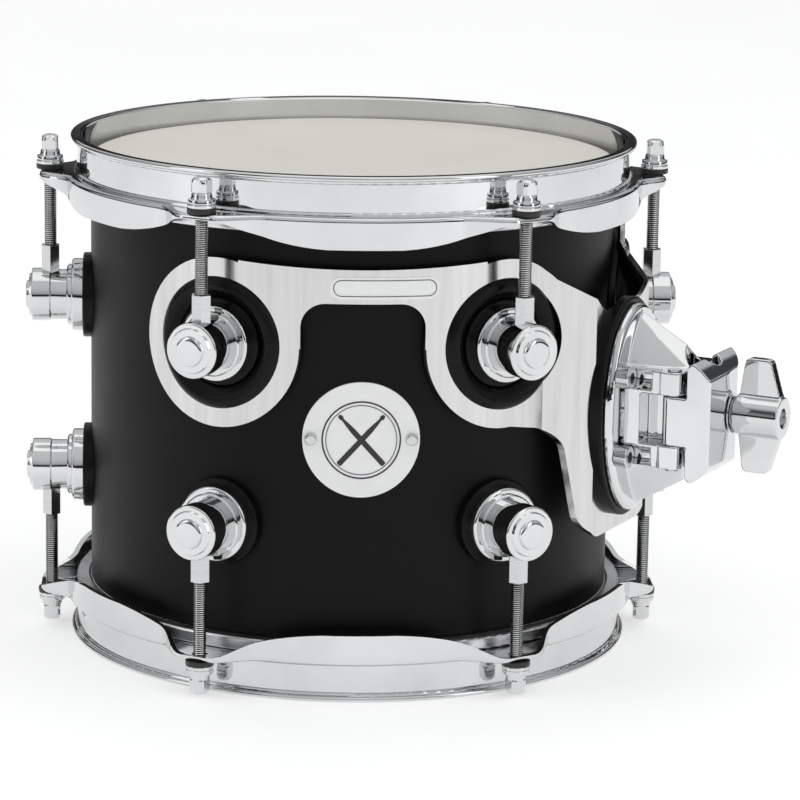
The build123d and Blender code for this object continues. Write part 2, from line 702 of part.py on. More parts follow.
def mount_nuts():
    """Four hexagonal nuts behind the raised panel."""
    with BuildPart() as nuts:
        with BuildSketch(mount_plane(PANEL_U - NUT_THICK)):
            with Locations(*BOLT_SPOTS):
                RegularPolygon(NUT_FLATS / 2, 6, major_radius=False)
                Circle(BOLT_R, mode=Mode.SUBTRACT)
        extrude(amount=NUT_THICK)
    return nuts.part


def hinge_pin():
    """Pin of the jaw's hinge, with a low head at each end."""
    with BuildPart() as pin:
        with BuildSketch(level_plane(-HINGE_HALF - PIN_HEAD)):
            with Locations((HINGE_U, -HINGE_X)):
                Circle(PIN_R)
        extrude(amount=2 * (HINGE_HALF + PIN_HEAD))
        for low in (-HINGE_HALF - PIN_HEAD, HINGE_HALF):
            with BuildSketch(level_plane(low)):
                with Locations((HINGE_U, -HINGE_X)):
                    Circle(PIN_R + 0.7)
            extrude(amount=PIN_HEAD)
    return pin.part


def clamp_jaw():
    """Hinged jaw: the other half of the arm's bore, one knuckle, and a pocket for the wing screw's collar."""
    with BuildPart() as jaw:
        with BuildSketch(level_plane(-30)):
            with BuildLine():
                Polyline((JAW_U, 17.0), (JAW_OUTER_U - 0.6, 17.0))
                ThreePointArc((JAW_OUTER_U - 0.6, 17.0), (JAW_OUTER_U + 0.3, 16.5),
                              (JAW_OUTER_U + 0.6, 15.4))
                ThreePointArc((JAW_OUTER_U + 0.6, 15.4), (JAW_OUTER_U + 0.5, 3.0),
                              (JAW_OUTER_U, -9.0))
                ThreePointArc((JAW_OUTER_U, -9.0), (JAW_OUTER_U - 2.0, -16.5),
                              (JAW_U + 1.5, -21.0))
                Polyline((JAW_U + 1.5, -21.0), (JAW_U, -21.0), (JAW_U, 17.0))
            make_face()
        extrude(amount=60)
        with BuildSketch(Plane(origin=mount_plane(0).origin, x_dir=mount_plane(0).z_dir,
                               z_dir=-mount_plane(0).x_dir)):
            with BuildLine():
                Polyline((JAW_U - 1, 0), (JAW_U - 1, 20.5), (JAW_U + 2.0, 22.6))
                ThreePointArc((JAW_U + 2.0, 22.6), (JAW_OUTER_U - 2.0, 19.5), (JAW_OUTER_U + 3.0, 9.0))
                Line((JAW_OUTER_U + 3.0, 9.0), (JAW_OUTER_U + 3.0, -9.0))
                ThreePointArc((JAW_OUTER_U + 3.0, -9.0), (JAW_OUTER_U - 2.0, -19.5),
                              (JAW_U + 2.0, -22.6))
                Polyline((JAW_U + 2.0, -22.6), (JAW_U - 1, -20.5), (JAW_U - 1, 0))
            make_face()
        extrude(amount=40, both=True, mode=Mode.INTERSECT)
        with BuildSketch(mount_plane(POCKET_U)):
            with Locations((SCREW_X, 0)):
                Circle(COLLAR_R + 0.9)
        extrude(amount=10, mode=Mode.SUBTRACT)
        with BuildSketch(level_plane(-KNUCKLE_HALF)):
            with Locations((HINGE_U, -HINGE_X)):
                Circle(KNUCKLE_R)
            with BuildLine():
                Polyline((HINGE_U, 17.0), (JAW_U + 0.5, 17.0), (JAW_U + 0.5, 9.6),
                         (HINGE_U + 1, 9.6), (HINGE_U, 17.0))
            make_face()
        extrude(amount=2 * KNUCKLE_HALF)
        with BuildSketch(level_plane(-KNUCKLE_HALF - 1)):
            with Locations((HINGE_U, -HINGE_X)):
                Circle(PIN_R + 0.05)
        extrude(amount=2 * KNUCKLE_HALF + 2, mode=Mode.SUBTRACT)
        with BuildSketch(level_plane(-60)):
            with Locations((ARM_U, 0)):
                Circle(ARM_R)
        extrude(amount=120, mode=Mode.SUBTRACT)
        with BuildSketch(mount_plane(JAW_U - 3)):
            with Locations((SCREW_X, 0)):
                Circle(STUD_R + 0.07)
        extrude(amount=20, mode=Mode.SUBTRACT)
    return jaw.part


def wing_handle():
    """Cast wing with a collar, a boss and two tapered wings, bored for its stud."""
    side = Plane(origin=mount_plane(0).origin, x_dir=mount_plane(0).z_dir,
                 z_dir=-mount_plane(0).x_dir)
    side = side.offset(-SCREW_X)
    with BuildPart() as wing:
        with BuildSketch(mount_plane(COLLAR_U)):
            with Locations((SCREW_X, 0)):
                Circle(COLLAR_R)
        extrude(amount=BOSS_U - COLLAR_U + 0.5)
        with BuildSketch(mount_plane(BOSS_U)):
            with Locations((SCREW_X, 0)):
                Circle(BOSS_R)
        extrude(amount=BOSS_END_U - BOSS_U)
        with BuildSketch(side):
            with BuildLine():
                for s in (-1, 1):
                    FilletPolyline((BOSS_U + 0.6, 0), (BOSS_U + 0.6, s * 5.5),
                                   (BOSS_U + 2.8, s * WING_HALF), (BOSS_END_U - 5.0, s * WING_HALF),
                                   (BOSS_END_U - 0.4, s * 6.5), (BOSS_END_U - 0.4, 0), radius=2.4)
            make_face()
        extrude(amount=WING_THICK / 2, both=True)
        with BuildSketch(mount_plane(BOSS_END_U)):
            with Locations((SCREW_X, 0)):
                Circle(3.6)
        extrude(amount=-4.0, mode=Mode.SUBTRACT)
        with BuildSketch(mount_plane(COLLAR_U - 1)):
            with Locations((SCREW_X, 0)):
                Circle(STUD_R)
        extrude(amount=40, mode=Mode.SUBTRACT)
    return wing.part


def wing_stud():
    """Threaded quarter-inch stud pressed into the wing; its tip is backed out of the base."""
    with BuildPart() as stud:
        with BuildSketch(mount_plane(JAW_U - 0.5)):
            with Locations((SCREW_X, 0)):
                Circle(STUD_R)
        extrude(amount=BOSS_END_U - 2.0 - JAW_U)
        chamfer(stud.edges(), 0.5)
    return stud.part


os.makedirs("parts", exist_ok=True)

save(shell(), "shell")
save_both(hoop(), "resonant_hoop", "batter_hoop")
save_both(head_film(), "resonant_head", "batter_head")
save_both(flesh_hoop(), "resonant_flesh_hoop", "batter_flesh_hoop")

rod = tension_rod()
turret = lug()
for number, azimuth in enumerate(LUG_AZIMUTHS, start=1):
    save_both(around(rod, [azimuth]), f"resonant_rod_{number}", f"batter_rod_{number}")
    save_both(turned(turret, [azimuth]), f"resonant_lug_{number}", f"batter_lug_{number}")
save_both(around(washer(WASHER_R, STEEL_Z, STEEL_THICK)), "resonant_steel_washers",
          "batter_steel_washers")
save_both(around(washer(NYLON_R, NYLON_Z, NYLON_THICK)), "resonant_nylon_washers",
          "batter_nylon_washers")
save_both(around(insert()), "resonant_lug_inserts", "batter_lug_inserts")
save_both(turned(lug_gasket(), LUG_AZIMUTHS), "resonant_lug_gaskets", "batter_lug_gaskets")
save_both(turned(lug_screw(), LUG_AZIMUTHS), "resonant_lug_screws", "batter_lug_screws")
save_both(turned(lug_screw_washer(), LUG_AZIMUTHS), "resonant_screw_washers",
          "batter_screw_washers")

save(badge(), "badge")
save(badge_screws(), "badge_screws")
save(suspension_plate(), "suspension_plate")
with BuildPart() as upper_grommet:
    mirror(grommet(), about=Plane.XY.offset(MID_Z))
for number, azimuth in enumerate(MOUNTED_LUGS, start=1):
    save(turned(upper_grommet.part, [azimuth]), f"grommet_{number}")
save(label(), "blank_label")

save(foot_gasket(), "clamp_gasket")
save(clamp_base(), "clamp_base")
save(mount_bolts(), "clamp_bolts")
save(mount_nuts(), "clamp_nuts")
save(hinge_pin(), "hinge_pin")
save(clamp_jaw(), "clamp_jaw")
save(wing_handle(), "wing_handle")
save(wing_stud(), "wing_stud")
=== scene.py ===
"""Rack tom drum in a white studio: materials on the fixed frame, and modelled detail on top of it."""
from math import atan2, ceil, cos, pi, radians, sin, sqrt
import bmesh
import bpy
from mathutils import Matrix, Vector


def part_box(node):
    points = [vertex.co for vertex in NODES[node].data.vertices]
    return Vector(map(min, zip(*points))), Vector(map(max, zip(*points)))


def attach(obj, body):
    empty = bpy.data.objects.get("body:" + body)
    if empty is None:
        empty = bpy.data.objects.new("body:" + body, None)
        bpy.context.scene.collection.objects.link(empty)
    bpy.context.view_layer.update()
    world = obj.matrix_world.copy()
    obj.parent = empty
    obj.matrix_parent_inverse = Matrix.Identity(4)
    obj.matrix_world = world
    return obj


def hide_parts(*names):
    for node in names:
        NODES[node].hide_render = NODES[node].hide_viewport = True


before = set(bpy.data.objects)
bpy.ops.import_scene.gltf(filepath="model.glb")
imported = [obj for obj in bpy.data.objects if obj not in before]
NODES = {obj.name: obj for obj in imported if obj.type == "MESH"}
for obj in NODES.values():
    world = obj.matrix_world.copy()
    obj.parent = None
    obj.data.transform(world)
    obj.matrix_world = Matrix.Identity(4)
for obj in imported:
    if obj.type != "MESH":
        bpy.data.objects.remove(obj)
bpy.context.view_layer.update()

MM = 0.001

# Azimuth 0 is the badge side (-Y) and grows towards +X, as in the CAD model.
LUG_AZIMUTHS = (-150, -90, -30, 30, 90, 150)
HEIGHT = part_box("batter_hoop")[1].z
MID_Z = HEIGHT / 2
SHELL_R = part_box("shell")[1].x


# ---------------------------------------------------------------- materials

def new_material(name):
    """A node material holding one Principled shader."""
    material = bpy.data.materials.new(name)
    material.use_nodes = True
    return material, material.node_tree, material.node_tree.nodes["Principled BSDF"]


def coordinates(tree, scale=(1.0, 1.0, 1.0)):
    """Object coordinates in metres, stretched by a scale."""
    source = tree.nodes.new("ShaderNodeTexCoord")
    mapping = tree.nodes.new("ShaderNodeMapping")
    mapping.inputs["Scale"].default_value = scale
    tree.links.new(source.outputs["Object"], mapping.inputs["Vector"])
    return mapping.outputs["Vector"]


def noise(tree, vector, scale, detail=3.0, roughness=0.55):
    """Noise value driven by a vector."""
    node = tree.nodes.new("ShaderNodeTexNoise")
    node.inputs["Scale"].default_value = scale
    node.inputs["Detail"].default_value = detail
    node.inputs["Roughness"].default_value = roughness
    tree.links.new(vector, node.inputs["Vector"])
    return node.outputs["Fac"]


def spread(tree, value, low, high, start=0.3, end=0.7):
    """Map a noise value onto a range of numbers."""
    node = tree.nodes.new("ShaderNodeMapRange")
    node.inputs["From Min"].default_value = start
    node.inputs["From Max"].default_value = end
    node.inputs["To Min"].default_value = low
    node.inputs["To Max"].default_value = high
    tree.links.new(value, node.inputs["Value"])
    return node.outputs["Result"]


def ramp(tree, value, stops):
    """Colour ramp with (position, colour) stops."""
    node = tree.nodes.new("ShaderNodeValToRGB")
    elements = node.color_ramp.elements
    while len(elements) < len(stops):
        elements.new(0.5)
    for element, (position, colour) in zip(elements, stops):
        element.position = position
        element.color = (*colour, 1.0)
    tree.links.new(value, node.inputs["Fac"])
    return node.outputs["Color"]


def bump(tree, height, strength, distance):
    """Bump normal from a height value."""
    node = tree.nodes.new("ShaderNodeBump")
    node.inputs["Strength"].default_value = strength
    node.inputs["Distance"].default_value = distance
    tree.links.new(height, node.inputs["Height"])
    return node.outputs["Normal"]


def math_node(tree, operation, first, second):
    """Math node on a socket and either a socket or a number."""
    node = tree.nodes.new("ShaderNodeMath")
    node.operation = operation
    tree.links.new(first, node.inputs[0])
    if isinstance(second, (int, float)):
        node.inputs[1].default_value = second
    else:
        tree.links.new(second, node.inputs[1])
    return node.outputs[0]


def mix_colour(tree, factor, first, second):
    """Blend two colours, each a socket or a tuple."""
    node = tree.nodes.new("ShaderNodeMix")
    node.data_type = "RGBA"
    tree.links.new(factor, node.inputs["Factor"])
    for value, socket in ((first, node.inputs[6]), (second, node.inputs[7])):
        if isinstance(value, tuple):
            socket.default_value = (*value, 1.0)
        else:
            tree.links.new(value, socket)
    return node.outputs[2]


# Noise scales, in cells per metre.
METAL_GRAIN = 900.0
RUBBER_CLOUD = 90.0
RUBBER_SKIN = 1600.0
LACQUER_CLOUD = 22.0
LACQUER_PEEL = 700.0
HEAD_SMUDGE = 18.0
HEAD_STIPPLE = 1500.0
PLASTIC_CLOUD = 120.0
PLASTIC_SKIN = 1200.0
FLOOR_CLOUD = 3.0

RUBBER_BLACK = 0.004
RUBBER_ROUGHNESS = 0.3
# The lacquer gives way to bare maple between these depths under the shell's outside, in mm.
LACQUER_STARTS = 0.7
MAPLE_ENDS = 0.9
FLOOR_GLOW = 0.42


def metal(name, dark, light, rough_low, rough_high, cloud_scale, stretch=(1.0, 1.0, 1.0),
          bump_strength=0.05, bump_mm=0.02):
    """Metal with cloudy tone and roughness, and a faint grain."""
    material, tree, shader = new_material(name)
    shader.inputs["Metallic"].default_value = 1.0
    vector = coordinates(tree, stretch)
    cloud = noise(tree, vector, cloud_scale)
    fine_grain = noise(tree, vector, METAL_GRAIN, 2.0)
    tree.links.new(ramp(tree, cloud, ((0.3, dark), (0.7, light))), shader.inputs["Base Color"])
    tree.links.new(spread(tree, cloud, rough_low, rough_high), shader.inputs["Roughness"])
    tree.links.new(bump(tree, fine_grain, bump_strength, bump_mm * MM), shader.inputs["Normal"])
    return material


def rubber(name):
    """Black moulded rubber with a fine skin."""
    material, tree, shader = new_material(name)
    vector = coordinates(tree)
    cloud = noise(tree, vector, RUBBER_CLOUD, 4.0)
    skin = noise(tree, vector, RUBBER_SKIN, 2.0)
    dark = (RUBBER_BLACK * 0.7, RUBBER_BLACK * 0.7, RUBBER_BLACK * 0.72)
    light = (RUBBER_BLACK * 1.5, RUBBER_BLACK * 1.5, RUBBER_BLACK * 1.55)
    tree.links.new(ramp(tree, cloud, ((0.3, dark), (0.7, light))), shader.inputs["Base Color"])
    roughness = spread(tree, cloud, RUBBER_ROUGHNESS - 0.08, RUBBER_ROUGHNESS + 0.1)
    tree.links.new(roughness, shader.inputs["Roughness"])
    shader.inputs["Specular IOR Level"].default_value = 0.15
    tree.links.new(bump(tree, skin, 0.12, 0.05 * MM), shader.inputs["Normal"])
    return material


def shell_material():
    """Satin black lacquer outside, bare maple inside and on the bearing edges."""
    material, tree, shader = new_material("satin_black_shell")
    vector = coordinates(tree)
    parts = tree.nodes.new("ShaderNodeSeparateXYZ")
    tree.links.new(vector, parts.inputs["Vector"])
    x_squared = math_node(tree, "MULTIPLY", parts.outputs["X"], parts.outputs["X"])
    y_squared = math_node(tree, "MULTIPLY", parts.outputs["Y"], parts.outputs["Y"])
    radius = math_node(tree, "SQRT", math_node(tree, "ADD", x_squared, y_squared), 0.0)
    outside = spread(tree, radius, 0.0, 1.0, SHELL_R - MAPLE_ENDS * MM, SHELL_R - LACQUER_STARTS * MM)
    cloud = noise(tree, vector, LACQUER_CLOUD, 5.0)
    orange_peel = noise(tree, vector, LACQUER_PEEL, 2.0)
    lacquer = ramp(tree, cloud, ((0.3, (0.0026, 0.0027, 0.003)), (0.7, (0.0042, 0.0044, 0.0048))))
    stretched = coordinates(tree, (9.0, 9.0, 160.0))
    grain = noise(tree, stretched, 4.0, 6.0, 0.65)
    maple = ramp(tree, grain, ((0.25, (0.46, 0.29, 0.15)), (0.5, (0.62, 0.43, 0.25)),
                               (0.8, (0.71, 0.53, 0.34))))
    tree.links.new(mix_colour(tree, outside, maple, lacquer), shader.inputs["Base Color"])
    tree.links.new(spread(tree, cloud, 0.4, 0.47), shader.inputs["Roughness"])
    shader.inputs["Specular IOR Level"].default_value = 0.14
    tree.links.new(bump(tree, orange_peel, 0.05, 0.03 * MM), shader.inputs["Normal"])
    return material


def head_material():
    """Coated film: warm white, sprayed stipple, faint smudges."""
    material, tree, shader = new_material("coated_head_film")
    vector = coordinates(tree)
    smudge = noise(tree, vector, HEAD_SMUDGE, 5.0)
    stipple = noise(tree, vector, HEAD_STIPPLE, 3.0)
    tree.links.new(ramp(tree, smudge, ((0.3, (0.88, 0.835, 0.75)), (0.7, (0.93, 0.885, 0.80)))),
                   shader.inputs["Base Color"])
    tree.links.new(spread(tree, stipple, 0.5, 0.72), shader.inputs["Roughness"])
    shader.inputs["Subsurface Weight"].default_value = 0.08
    shader.inputs["Subsurface Scale"].default_value = 0.002
    tree.links.new(bump(tree, stipple, 0.22, 0.05 * MM), shader.inputs["Normal"])
    return material


def plastic(name, dark, light, rough):
    """Moulded or printed plastic with a slight mottle."""
    material, tree, shader = new_material(name)
    vector = coordinates(tree)
    cloud = noise(tree, vector, PLASTIC_CLOUD, 4.0)
    skin = noise(tree, vector, PLASTIC_SKIN, 2.0)
    tree.links.new(ramp(tree, cloud, ((0.3, dark), (0.7, light))), shader.inputs["Base Color"])
    tree.links.new(spread(tree, cloud, rough - 0.06, rough + 0.08), shader.inputs["Roughness"])
    tree.links.new(bump(tree, skin, 0.08, 0.03 * MM), shader.inputs["Normal"])
    return material


def floor_material():
    """Pale seamless studio floor with a hint of its own light, so that it stays white."""
    material, tree, shader = new_material("studio_floor")
    vector = coordinates(tree)
    cloud = noise(tree, vector, FLOOR_CLOUD, 4.0)
    tree.links.new(ramp(tree, cloud, ((0.3, (0.90, 0.90, 0.90)), (0.7, (0.93, 0.93, 0.93)))),
                   shader.inputs["Base Color"])
    tree.links.new(spread(tree, cloud, 0.55, 0.65), shader.inputs["Roughness"])
    shader.inputs["Specular IOR Level"].default_value = 0.15
    shader.inputs["Emission Color"].default_value = (1.0, 1.0, 1.0, 1.0)
    shader.inputs["Emission Strength"].default_value = FLOOR_GLOW
    return material


CHROME = metal("chrome", (0.64, 0.645, 0.65), (0.72, 0.725, 0.73), 0.03, 0.08, 30.0,
               bump_strength=0.03, bump_mm=0.01)
BRIGHT_STEEL = metal("bright_steel", (0.56, 0.565, 0.57), (0.66, 0.665, 0.67), 0.16, 0.26, 60.0,
                     (1.0, 1.0, 30.0))
PLATE_STEEL = metal("polished_plate", (0.58, 0.58, 0.575), (0.68, 0.68, 0.675), 0.12, 0.2, 25.0,
                    (14.0, 14.0, 0.7), 0.04, 0.015)
ROD_STEEL = metal("rod_steel", (0.80, 0.80, 0.80), (0.88, 0.88, 0.88), 0.14, 0.24, 120.0)
ALUMINIUM = metal("rolled_aluminium", (0.68, 0.68, 0.69), (0.78, 0.78, 0.79), 0.24, 0.36, 60.0,
                  (1.0, 1.0, 30.0))
# Dark steel for the deepest faces of the rods' threads: painted shade, the darkness that falls in the
# thread grooves
GROOVE_PAINTED_SHADE = metal("thread_groove_painted_shade", (0.13, 0.13, 0.13), (0.19, 0.19, 0.19), 0.25, 0.35, 120.0)
SCREW_STEEL = metal("screw_steel", (0.5, 0.5, 0.52), (0.64, 0.64, 0.66), 0.22, 0.34, 150.0)
RUBBER = rubber("black_rubber")
NYLON = plastic("black_nylon", (0.010, 0.010, 0.011), (0.020, 0.020, 0.021), 0.36)
ENAMEL = plastic("badge_enamel", (0.88, 0.88, 0.88), (0.93, 0.93, 0.93), 0.35)
LABEL = plastic("label_film", (0.92, 0.93, 0.92), (0.96, 0.97, 0.96), 0.5)
INK = plastic("dark_inlay", (0.012, 0.012, 0.013), (0.022, 0.022, 0.023), 0.35)


CAST = ("clamp_base", "clamp_jaw", "wing_handle")
VOXEL_MM = 0.33

# Each material, the words that find its CAD nodes, the bevel on their edges in mm, and the least
# angle in degrees of an edge that gets it. The first row with a word in a node's name is the node's.
FINISHES = (
    (shell_material(), ("shell",), 0.0, 40),
    (head_material(), ("batter_head", "resonant_head"), 0.0, 40),
    (ALUMINIUM, ("flesh_hoop",), 0.0, 35),
    (RUBBER, ("gasket", "grommet"), 0.35, 30),
    (NYLON, ("nylon",), 0.0, 35),
    (BRIGHT_STEEL, ("insert", "badge_screws", "clamp_bolts"), 0.12, 30),
    (SCREW_STEEL, ("lug_screws", "screw_washers", "clamp_nuts", "hinge_pin", "wing_stud"), 0.12, 30),
    (PLATE_STEEL, ("suspension_plate",), 0.3, 30),
    (ENAMEL, ("badge",), 0.2, 30),
    (LABEL, ("blank_label",), 0.0, 30),
    (CHROME, CAST, 0.0, 30),
    (CHROME, ("_hoop",), 0.0, 32),
    (CHROME, ("lug", "steel_washers", "rod"), 0.2, 32),
)
WHOLE_NAMES = ("shell", "badge")
WELD_WITHIN = 1e-6


def round_cast(node):
    """Rounded edges of a casting: an even fine mesh, relaxed."""
    remesh = node.modifiers.new("even_mesh", "REMESH")
    remesh.mode = "VOXEL"
    remesh.voxel_size = VOXEL_MM * MM
    remesh.use_smooth_shade = True
    relax = node.modifiers.new("relax", "SMOOTH")
    relax.factor = 0.5
    relax.iterations = 10


def finish_node(node, material, width, angle):
    """Material on one CAD node, and softened edges where it is a casting or has a bevel width."""
    node.data.materials.clear()
    node.data.materials.append(material)
    if node.name not in CAST and not width:
        return
    node.modifiers.new("weld", "WELD").merge_threshold = WELD_WITHIN
    if node.name in CAST:
        round_cast(node)
        return
    bevel = node.modifiers.new("soft_edges", "BEVEL")
    bevel.width = width * MM
    bevel.segments = 3
    bevel.limit_method = "ANGLE"
    bevel.angle_limit = radians(angle)
    bevel.use_clamp_overlap = True
    bevel.harden_normals = True
    normals = node.modifiers.new("even_normals", "WEIGHTED_NORMAL")
    normals.keep_sharp = True


for name, node in NODES.items():
    for material, words, width, angle in FINISHES:
        if any(name == word or (word in name and word not in WHOLE_NAMES) for word in words):
            finish_node(node, material, width, angle)
            break
    else:
        raise ValueError(f"no finish for {name}")


# ---------------------------------------------------------------- modelled detail

def mesh_object(name, points, faces, material, smooth_angle):
    """Mesh object with smooth shading inside an angle, and outward faces."""
    mesh = bpy.data.meshes.new(name)
    mesh.from_pydata(points, [], faces)
    shape = bmesh.new()
    shape.from_mesh(mesh)
    bmesh.ops.remove_doubles(shape, verts=shape.verts, dist=1e-7)
    bmesh.ops.recalc_face_normals(shape, faces=shape.faces)
    shape.to_mesh(mesh)
    shape.free()
    mesh.shade_smooth()
    mesh.set_sharp_from_angle(angle=radians(smooth_angle))
    mesh.materials.append(material)
    piece = bpy.data.objects.new(name, mesh)
    bpy.context.scene.collection.objects.link(piece)
    return piece


def grid_faces(rows, columns, start=0):
    """Quads between rows of points, each row a closed ring."""
    faces = []
    for row in range(rows - 1):
        low = start + row * columns
        high = low + columns
        for column in range(columns):
            after = (column + 1) % columns
            faces.append((low + column, low + after, high + after, high + column))
    return faces


# Tension rods, in mm from the top of the head: a 10-32 thread and a quarter-inch square key head.
ROD_R = 4.83 / 2
THREAD_PITCH = 25.4 / 32
THREAD_DEPTH = 0.46
THREAD_WAVE = (0.0, 0.35, 1.0, 0.35)
THREAD_QUARTERS = len(THREAD_WAVE)
# Share of the thread depth past which a face gets the dark steel of painted groove shade
PAINTED_SHADE_DEPTH_SHARE = 0.6
TIP_TAPER_LENGTH = 1.2
TIP_TAPER_DEPTH = 0.75
TIP_GAP = 0.01
ROD_COLUMNS = 32
SQUARE_HALF = 6.35 / 2
SQUARE_CORNER = 0.7
CORNER_SPREAD = 0.35
HEAD_LENGTH = 9.9
# (height, radius) rows: the square's, cut to its outline, then the round bell's and flange's
SQUARE_ROWS = ((0.0, 0.9), (0.12, 1.9), (0.45, 2.75), (1.1, 3.5), (1.9, 4.0), (2.8, 4.6), (4.6, 4.6),
               (5.6, 4.6))
BELL_ROWS = ((5.75, 3.35), (6.2, 3.62), (6.8, 3.8), (7.6, 3.9), (8.0, 4.1), (8.15, 4.85), (8.4, 5.0),
             (9.6, 5.0), (9.9, 4.8), (HEAD_LENGTH, ROD_R - THREAD_DEPTH))


def square_radius(angle):
    """Radius of a rounded square at an angle."""
    c, s = abs(cos(angle)), abs(sin(angle))
    flat = SQUARE_HALF / max(c, s)
    corner = SQUARE_HALF * sqrt(2) - SQUARE_CORNER
    blend = max(0.0, 1 - abs(atan2(s, c) - pi / 4) / CORNER_SPREAD)
    return flat - (flat - min(flat, corner)) * blend


def rod_points(length):
    """Rows of points in mm down a rod: square head, bell, flange and helical thread."""
    angles = [2 * pi * j / ROD_COLUMNS for j in range(ROD_COLUMNS)]
    points = []
    for height, radius in SQUARE_ROWS:
        for angle in angles:
            r = min(radius, square_radius(angle))
            points.append((r * cos(angle), r * sin(angle), height))
    for height, radius in BELL_ROWS:
        for angle in angles:
            points.append((radius * cos(angle), radius * sin(angle), height))
    quarter = THREAD_PITCH / THREAD_QUARTERS
    steps = ceil((length - HEAD_LENGTH) / quarter) + THREAD_QUARTERS
    for step in range(steps):
        for j, angle in enumerate(angles):
            turns = step - THREAD_QUARTERS + THREAD_QUARTERS * j / ROD_COLUMNS
            z = min(max(HEAD_LENGTH + quarter * turns, HEAD_LENGTH), length - TIP_GAP)
            taper = max(0.0, 1 - (length - z) / TIP_TAPER_LENGTH)
            r = ROD_R - THREAD_DEPTH * THREAD_WAVE[step % THREAD_QUARTERS] - TIP_TAPER_DEPTH * taper
            points.append((r * cos(angle), r * sin(angle), z))
    return points


def tension_rod(name, node):
    """A rod with a cut thread in place of its CAD cylinder: same centre, same length."""
    low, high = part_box(node)
    centre = (low + high) / 2
    length = (high.z - low.z) / MM
    points = [Vector(point) * MM for point in rod_points(length)]
    tip = len(points)
    points.append(Vector((0, 0, length * MM)))
    points.append(Vector((0, 0, 0)))
    faces = grid_faces(tip // ROD_COLUMNS, ROD_COLUMNS)
    for j in range(ROD_COLUMNS):
        after = (j + 1) % ROD_COLUMNS
        faces.append((tip - ROD_COLUMNS + j, tip - ROD_COLUMNS + after, tip))
        faces.append((j, after, tip + 1))
    piece = mesh_object(name, points, faces, ROD_STEEL, 32)
    piece.data.materials.append(CHROME)
    # Third material, dark steel on the deepest thread faces: painted shade in the grooves
    piece.data.materials.append(GROOVE_PAINTED_SHADE)
    painted_shade_r = (ROD_R - PAINTED_SHADE_DEPTH_SHARE * THREAD_DEPTH) * MM
    for face in piece.data.polygons:
        if face.center.z < HEAD_LENGTH * MM:
            face.material_index = 1
        elif Vector((face.center.x, face.center.y)).length < painted_shade_r:
            face.material_index = 2
    turn = atan2(centre.y, centre.x)
    if centre.z < MID_Z:
        place = Matrix.Translation((centre.x, centre.y, low.z)) @ Matrix.Rotation(turn, 4, "Z")
    else:
        flip = Matrix.Rotation(pi, 4, "X") @ Matrix.Rotation(-turn, 4, "Z")
        place = Matrix.Translation((centre.x, centre.y, high.z)) @ flip
    piece.data.transform(place)
    return piece


for side in ("batter", "resonant"):
    for number in range(1, len(LUG_AZIMUTHS) + 1):
        node = f"{side}_rod_{number}"
        piece = tension_rod(f"{side}_threaded_rod_{number}", node)
        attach(piece, f"{node}_body")
        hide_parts(node)


BADGE_FACE_R = -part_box("badge")[0].y
INLAY_RAISED = 0.12
INLAY_SUNK = 0.2


def inlay(name, strips, radius, centre_x, centre_z):
    """Thin raised strips laid on the drum's curve. A strip is a list of (x, y, half width), in mm."""
    points, faces = [], []
    for strip in strips:
        base = len(points)
        count = len(strip)
        for index, (x, y, half) in enumerate(strip):
            before = strip[max(index - 1, 0)]
            after = strip[min(index + 1, count - 1)]
            along = Vector((after[0] - before[0], after[1] - before[1])).normalized()
            across = Vector((-along.y, along.x)) * half
            for sign in (-1, 1):
                for lift in (-INLAY_SUNK, INLAY_RAISED):
                    px = (x + sign * across.x) * MM + centre_x
                    pz = (y + sign * across.y) * MM + centre_z
                    r = radius + lift * MM
                    points.append((px, -sqrt(r * r - px * px), pz))
        for index in range(count - 1):
            a = base + 4 * index
            b = a + 4
            faces += [(a + 1, a + 3, b + 3, b + 1), (a, b, b + 2, a + 2), (a, a + 1, b + 1, b),
                      (a + 2, b + 2, b + 3, a + 3)]
        last = base + 4 * (count - 1)
        faces += [(base, base + 2, base + 3, base + 1), (last, last + 1, last + 3, last + 2)]
    return mesh_object(name, points, faces, INK, 30)


CIRCLE_STEPS = 96


def circle_strip(radius, half):
    """Strip round a circle."""
    angles = [2 * pi * i / CIRCLE_STEPS for i in range(CIRCLE_STEPS + 1)]
    return [(radius * cos(angle), radius * sin(angle), half) for angle in angles]


STICK_HALF_LENGTH = 12.4
# (share of the half length, half width in mm) down a stick: butt, even shaft, taper and rounded tip
STICK_BUTT = ((-1.0, 0.45), (-0.985, 0.85))
STICK_SHAFT = tuple((-0.96 + 0.1 * i, 1.0) for i in range(14))
STICK_TIP = ((0.48, 0.87), (0.62, 0.72), (0.8, 0.46), (0.835, 0.5), (0.87, 0.78), (0.91, 0.86),
             (0.95, 0.74), (0.985, 0.42), (1.0, 0.12))


def stick_strip(angle):
    """Strip shaped as a drumstick that points at an angle in degrees."""
    c, s = cos(radians(angle)), sin(radians(angle))
    strip = []
    for share, half in (*STICK_BUTT, *STICK_SHAFT, *STICK_TIP):
        reach = STICK_HALF_LENGTH * share
        strip.append((reach * c, reach * s, half))
    return strip


emblem = inlay("badge_emblem", [circle_strip(14.2, 0.28), circle_strip(12.9, 0.14), stick_strip(48),
                                stick_strip(132)], BADGE_FACE_R, 0.0, MID_Z)
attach(emblem, "drum")


GROMMET_AZIMUTHS = (-30, 30, 90, 150)
GROMMET_Z = (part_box("grommet_1")[0].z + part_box("grommet_1")[1].z) / 2
# (distance from the lug's axis, distance from the drum's axis), in mm, round the ring's section
GROMMET_SECTION = (
    (16.5, 100.9), (16.5, 103.0), (16.7, 103.7), (17.4, 104.3), (18.3, 105.1), (19.2, 106.0),
    (20.2, 106.75), (21.2, 107.1), (22.2, 107.0), (23.1, 106.5), (23.8, 105.8), (24.2, 105.2),
    (24.35, 104.9), (24.35, 103.15), (28.6, 103.1), (28.9, 102.8), (28.9, 100.9), (22.0, 100.9))
GROMMET_COLUMNS = 96


